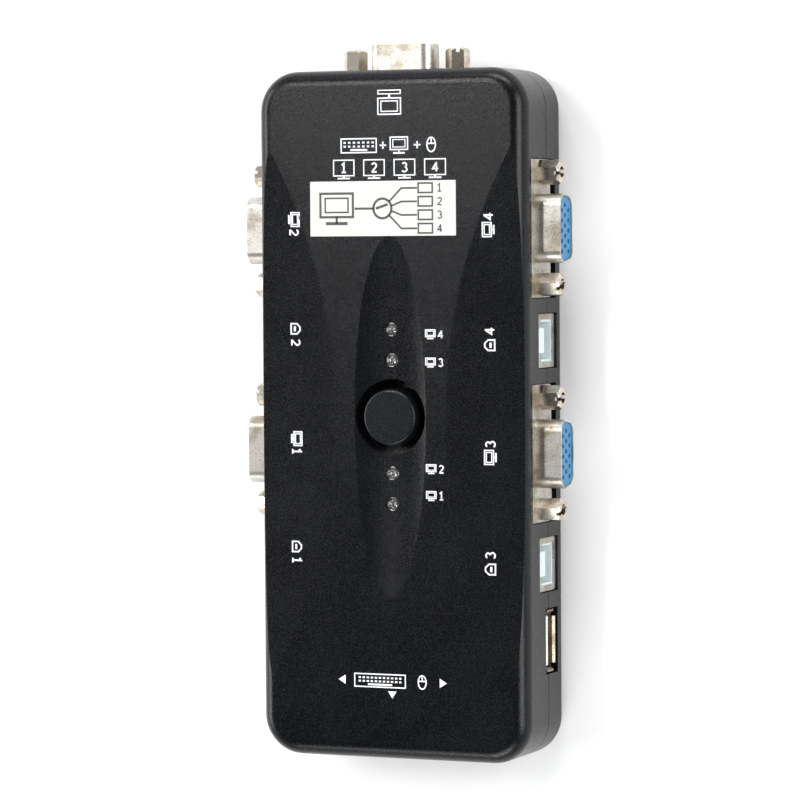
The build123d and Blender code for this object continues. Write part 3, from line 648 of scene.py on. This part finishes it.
what_switches_y = 60.5
white_print += placed(keyboard_sign(8.6, 3.1, keyboard_line), -7.2, what_switches_y)
white_print += placed(screen_sign(4.2, keyboard_line), 2.6, what_switches_y - 1.75)
white_print += placed(mouse_sign(3.2, fine_line), 10.4, what_switches_y)
plus_arm = 0.8
for x in (-1.3, 7.0):
    white_print += [
        rule(x - plus_arm, what_switches_y, x + plus_arm, what_switches_y, 0.34),
        rule(x, what_switches_y - plus_arm, x, what_switches_y + plus_arm, 0.34)]

computers_y = 53.2
for number, x in enumerate((-10.9, -3.5, 3.9, 11.3), 1):
    white_print += placed([frame_of(5.0, 3.5, 0.26, 0, 2.35), rule(0, 0, 0, 0.5, 0.5),
                           rule(-1.5, 0, 1.5, 0, 0.34)], x, computers_y)
    white_print += placed(number_strokes(number, 2.1), x - 0.65, computers_y + 2.35)

left_side = (-23.4, -90, ((42.8, 2, "screen"), (17.9, 2, "plug"),
                          (-6.8, 1, "screen"), (-31.5, 1, "plug")))
right_side = (23.85, 90, ((42.8, 4, "screen"), (17.4, 4, "plug"),
                          (-7.7, 3, "screen"), (-32.4, 3, "plug")))
for x, quarter_turn, signs in (left_side, right_side):
    for y, number, kind in signs:
        if kind == "screen":
            sign = placed(screen_sign(3.1, fine_line), -1.3, -1.25)
        else:
            sign = placed(square_plug_sign(2.3, 0.34), -1.5, 0)
        sign += placed(number_strokes(number, 2.2), 0.9, 0)
        white_print += placed(sign, x, y, quarter_turn)

for y, number in ((18.3, 4), (12.0, 3), (-11.8, 2), (-17.8, 1)):
    white_print += placed(screen_sign(2.3, finest_line), 9.9, y - 0.95)
    white_print += placed(number_strokes(number, 1.75), 11.8, y)

console_y = -59.7
white_print += placed(keyboard_sign(12.4, 2.9, keyboard_line), -2.9, console_y)
white_print += placed(mouse_sign(3.0, fine_line), 7.4, console_y)
white_print += placed(arrow_sign(1.7, 2.1), -12.2, console_y, 180)
white_print += placed(arrow_sign(1.7, 2.1), 12.5, console_y)
white_print += placed(arrow_sign(1.6, 2.1), 0.1, console_y - 3.1, -90)

white_ink, place = new_finish("white_ink")
thin_spots = noise(place, 0.25 * mm, 3)
set_looks(white_ink, {
    "Base Color": between(steps(thin_spots, 0.25, 0.60), (0.58, 0.59, 0.62),
                          (0.88, 0.88, 0.90)),
    "Roughness": 0.42 + 0.15 * thin_spots,
    "Normal": relief(thin_spots, 0.01 * mm)})
piece("printed_signs", inked(white_print, cover_height, middle_y), "case", white_ink,
      smooth=False)

# ------------------------------------------------------------------ sticker
# A plain white vinyl sticker on the crest. It carries a small drawing in dark grey ink:
# one screen joined through a four-way selector to four computers.

label_face, place = new_finish("label_face")
fibres = noise(place.node("Mapping", {}, {"Vector": place, "Scale": (1.0, 0.25, 1.0)}),
               0.12 * mm, 3)
set_looks(label_face, {
    "Base Color": between(noise(place, 9 * mm, 2), (0.58, 0.57, 0.52), (0.65, 0.64, 0.59)),
    "Roughness": 0.38 + 0.12 * fibres,
    "Normal": relief(fibres, 0.008 * mm)})
dress(label_face, "name_label")

label_low, label_high = np.array(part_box("name_label"))
label_x = (label_low[0] + label_high[0]) / 2 / mm
label_y = (label_low[1] + label_high[1]) / 2
selector = 2.2
bold_line = 0.55
drawing = placed(screen_sign(8.0, bold_line), -11.2, -3.3)
drawing += [rule(-6.8, 0, -1.9, 0, 0.5),
            stroke(oval(around(28, 28), selector, selector), bold_line, closed=True),
            rule(-1.6, 0, 1.3, 0.9, 0.6)]
for number, y in enumerate((4.5, 1.5, -1.5, -4.5), 1):
    leaves = oval(y / 6, selector, selector)
    drawing += [stroke([leaves, (4.6, y), (8.4, y)], 0.42),
                frame_of(3.4, 2.1, 0.4, 10.4, y)]
    drawing += placed(number_strokes(number, 1.7), 13.3, y)


def label_height_at(x, y):
    """The sticker is flat, so its height is that of its upper face."""
    return np.full_like(x, label_high[2])


grey_ink, place = new_finish("grey_ink")
set_looks(grey_ink, {
    "Base Color": between(noise(place, 0.2 * mm, 2), (0.045, 0.045, 0.050),
                          (0.085, 0.085, 0.090)),
    "Roughness": 0.40 + 0.1 * noise(place, 0.1 * mm, 2)})
piece("sticker_drawing", inked(placed(drawing, label_x, 0), label_height_at, label_y),
      "case", grey_ink, smooth=False)

# ------------------------------------------------------------------ studio
# A pale table under soft panels, in a room whose walls are pale and whose ceiling is dark,
# and the camera above it, turned 23 degrees towards the side of ports 3 and 4.

floor_mesh = bpy.data.meshes.new("table")
reach = 3.0
floor_mesh.from_pydata([(-reach, -reach, 0), (reach, -reach, 0), (reach, reach, 0),
                        (-reach, reach, 0)], [], [(0, 1, 2, 3)])
floor = bpy.data.objects.new("table", floor_mesh)
bpy.context.scene.collection.objects.link(floor)
table_paint, place = new_finish("table_paint")
set_looks(table_paint, {
    "Base Color": between(noise(place, 200 * mm, 2), (0.86, 0.86, 0.86),
                          (0.89, 0.89, 0.89)),
    "Roughness": 0.8})
floor_mesh.materials.append(table_paint)


def seated(turned_to, place):
    """The matrix that puts something's own axes, given as columns, at a place."""
    whole = np.eye(4)
    whole[:3, :3] = turned_to
    whole[:3, 3] = place
    return Matrix(whole.tolist())


def soft_panel(name, place, width, height, power):
    """A rectangular light that faces the origin: its back is the direction from there to
    its place, its side the cross product of near enough Y and the back."""
    light = bpy.data.lights.new(name, "AREA")
    light.shape = "RECTANGLE"
    light.size = width
    light.size_y = height
    light.energy = power
    panel = bpy.data.objects.new(name, light)
    bpy.context.scene.collection.objects.link(panel)
    back = np.array(place, float)
    back /= np.linalg.norm(back)
    side = np.cross((0.0, 1.0, 0.001), back)
    side /= np.linalg.norm(side)
    up = np.cross(back, side)
    panel.matrix_world = seated(np.stack([side, up, back], -1), place)


soft_panel("top_strip", (-0.60, 0.51, 1.40), 0.18, 0.66, 8.5)
soft_panel("right_panel", (1.35, 0.10, 1.05), 0.9, 1.4, 22)
soft_panel("left_panel", (-1.45, 0.10, 0.70), 0.6, 1.4, 17)
soft_panel("far_panel", (0.10, 1.55, 0.95), 1.2, 0.6, 20)
soft_panel("near_panel", (-0.10, -1.45, 1.05), 1.2, 0.6, 16)

world = bpy.data.worlds.new("studio")
world.use_nodes = True
background = world.node_tree.nodes["Background"]
background.inputs["Color"].default_value = (0.94, 0.97, 1.0, 1)
outwards = Wire(world.node_tree).node("TexCoord", {}, {}, "Generated")
upwards = outwards.node("SeparateXYZ", {}, {"Vector": outwards}, "Z")
fading = 0.80 - 0.74 * steps(upwards, 0.20, 0.70)
world.node_tree.links.new(fading.socket, background.inputs["Strength"])
bpy.context.scene.world = world
bpy.context.scene.view_settings.view_transform = "Standard"


def turn_about(axis, angle):
    """The matrix of a turn about X, Y or Z, for axis 0, 1 or 2. In the rows and columns of
    the two other axes it holds the cosine, less the sine, the sine and the cosine."""
    first, second = (axis + 1) % 3, (axis + 2) % 3
    turn = np.eye(3)
    turn[first, first] = turn[second, second] = np.cos(angle)
    turn[second, first] = np.sin(angle)
    turn[first, second] = -np.sin(angle)
    return turn


yaw, pitch, roll = np.radians((23.127, 2.426, 0.385))
turned_by = turn_about(2, roll) @ turn_about(0, pitch) @ turn_about(1, -yaw)
looked_at = np.array((0, -2.9, 13.96)) * mm
step_back = np.array((-2.217, 3.063, 858.88)) * mm
stand = looked_at + turned_by.T @ step_back
camera = bpy.data.objects.new("camera", bpy.data.cameras.new("camera"))
bpy.context.scene.collection.objects.link(camera)
camera.data.lens = 170.45
camera.data.sensor_width = 36.0
camera.data.clip_start = 0.05
camera.matrix_world = seated(turned_by.T, stand)
bpy.context.scene.camera = camera
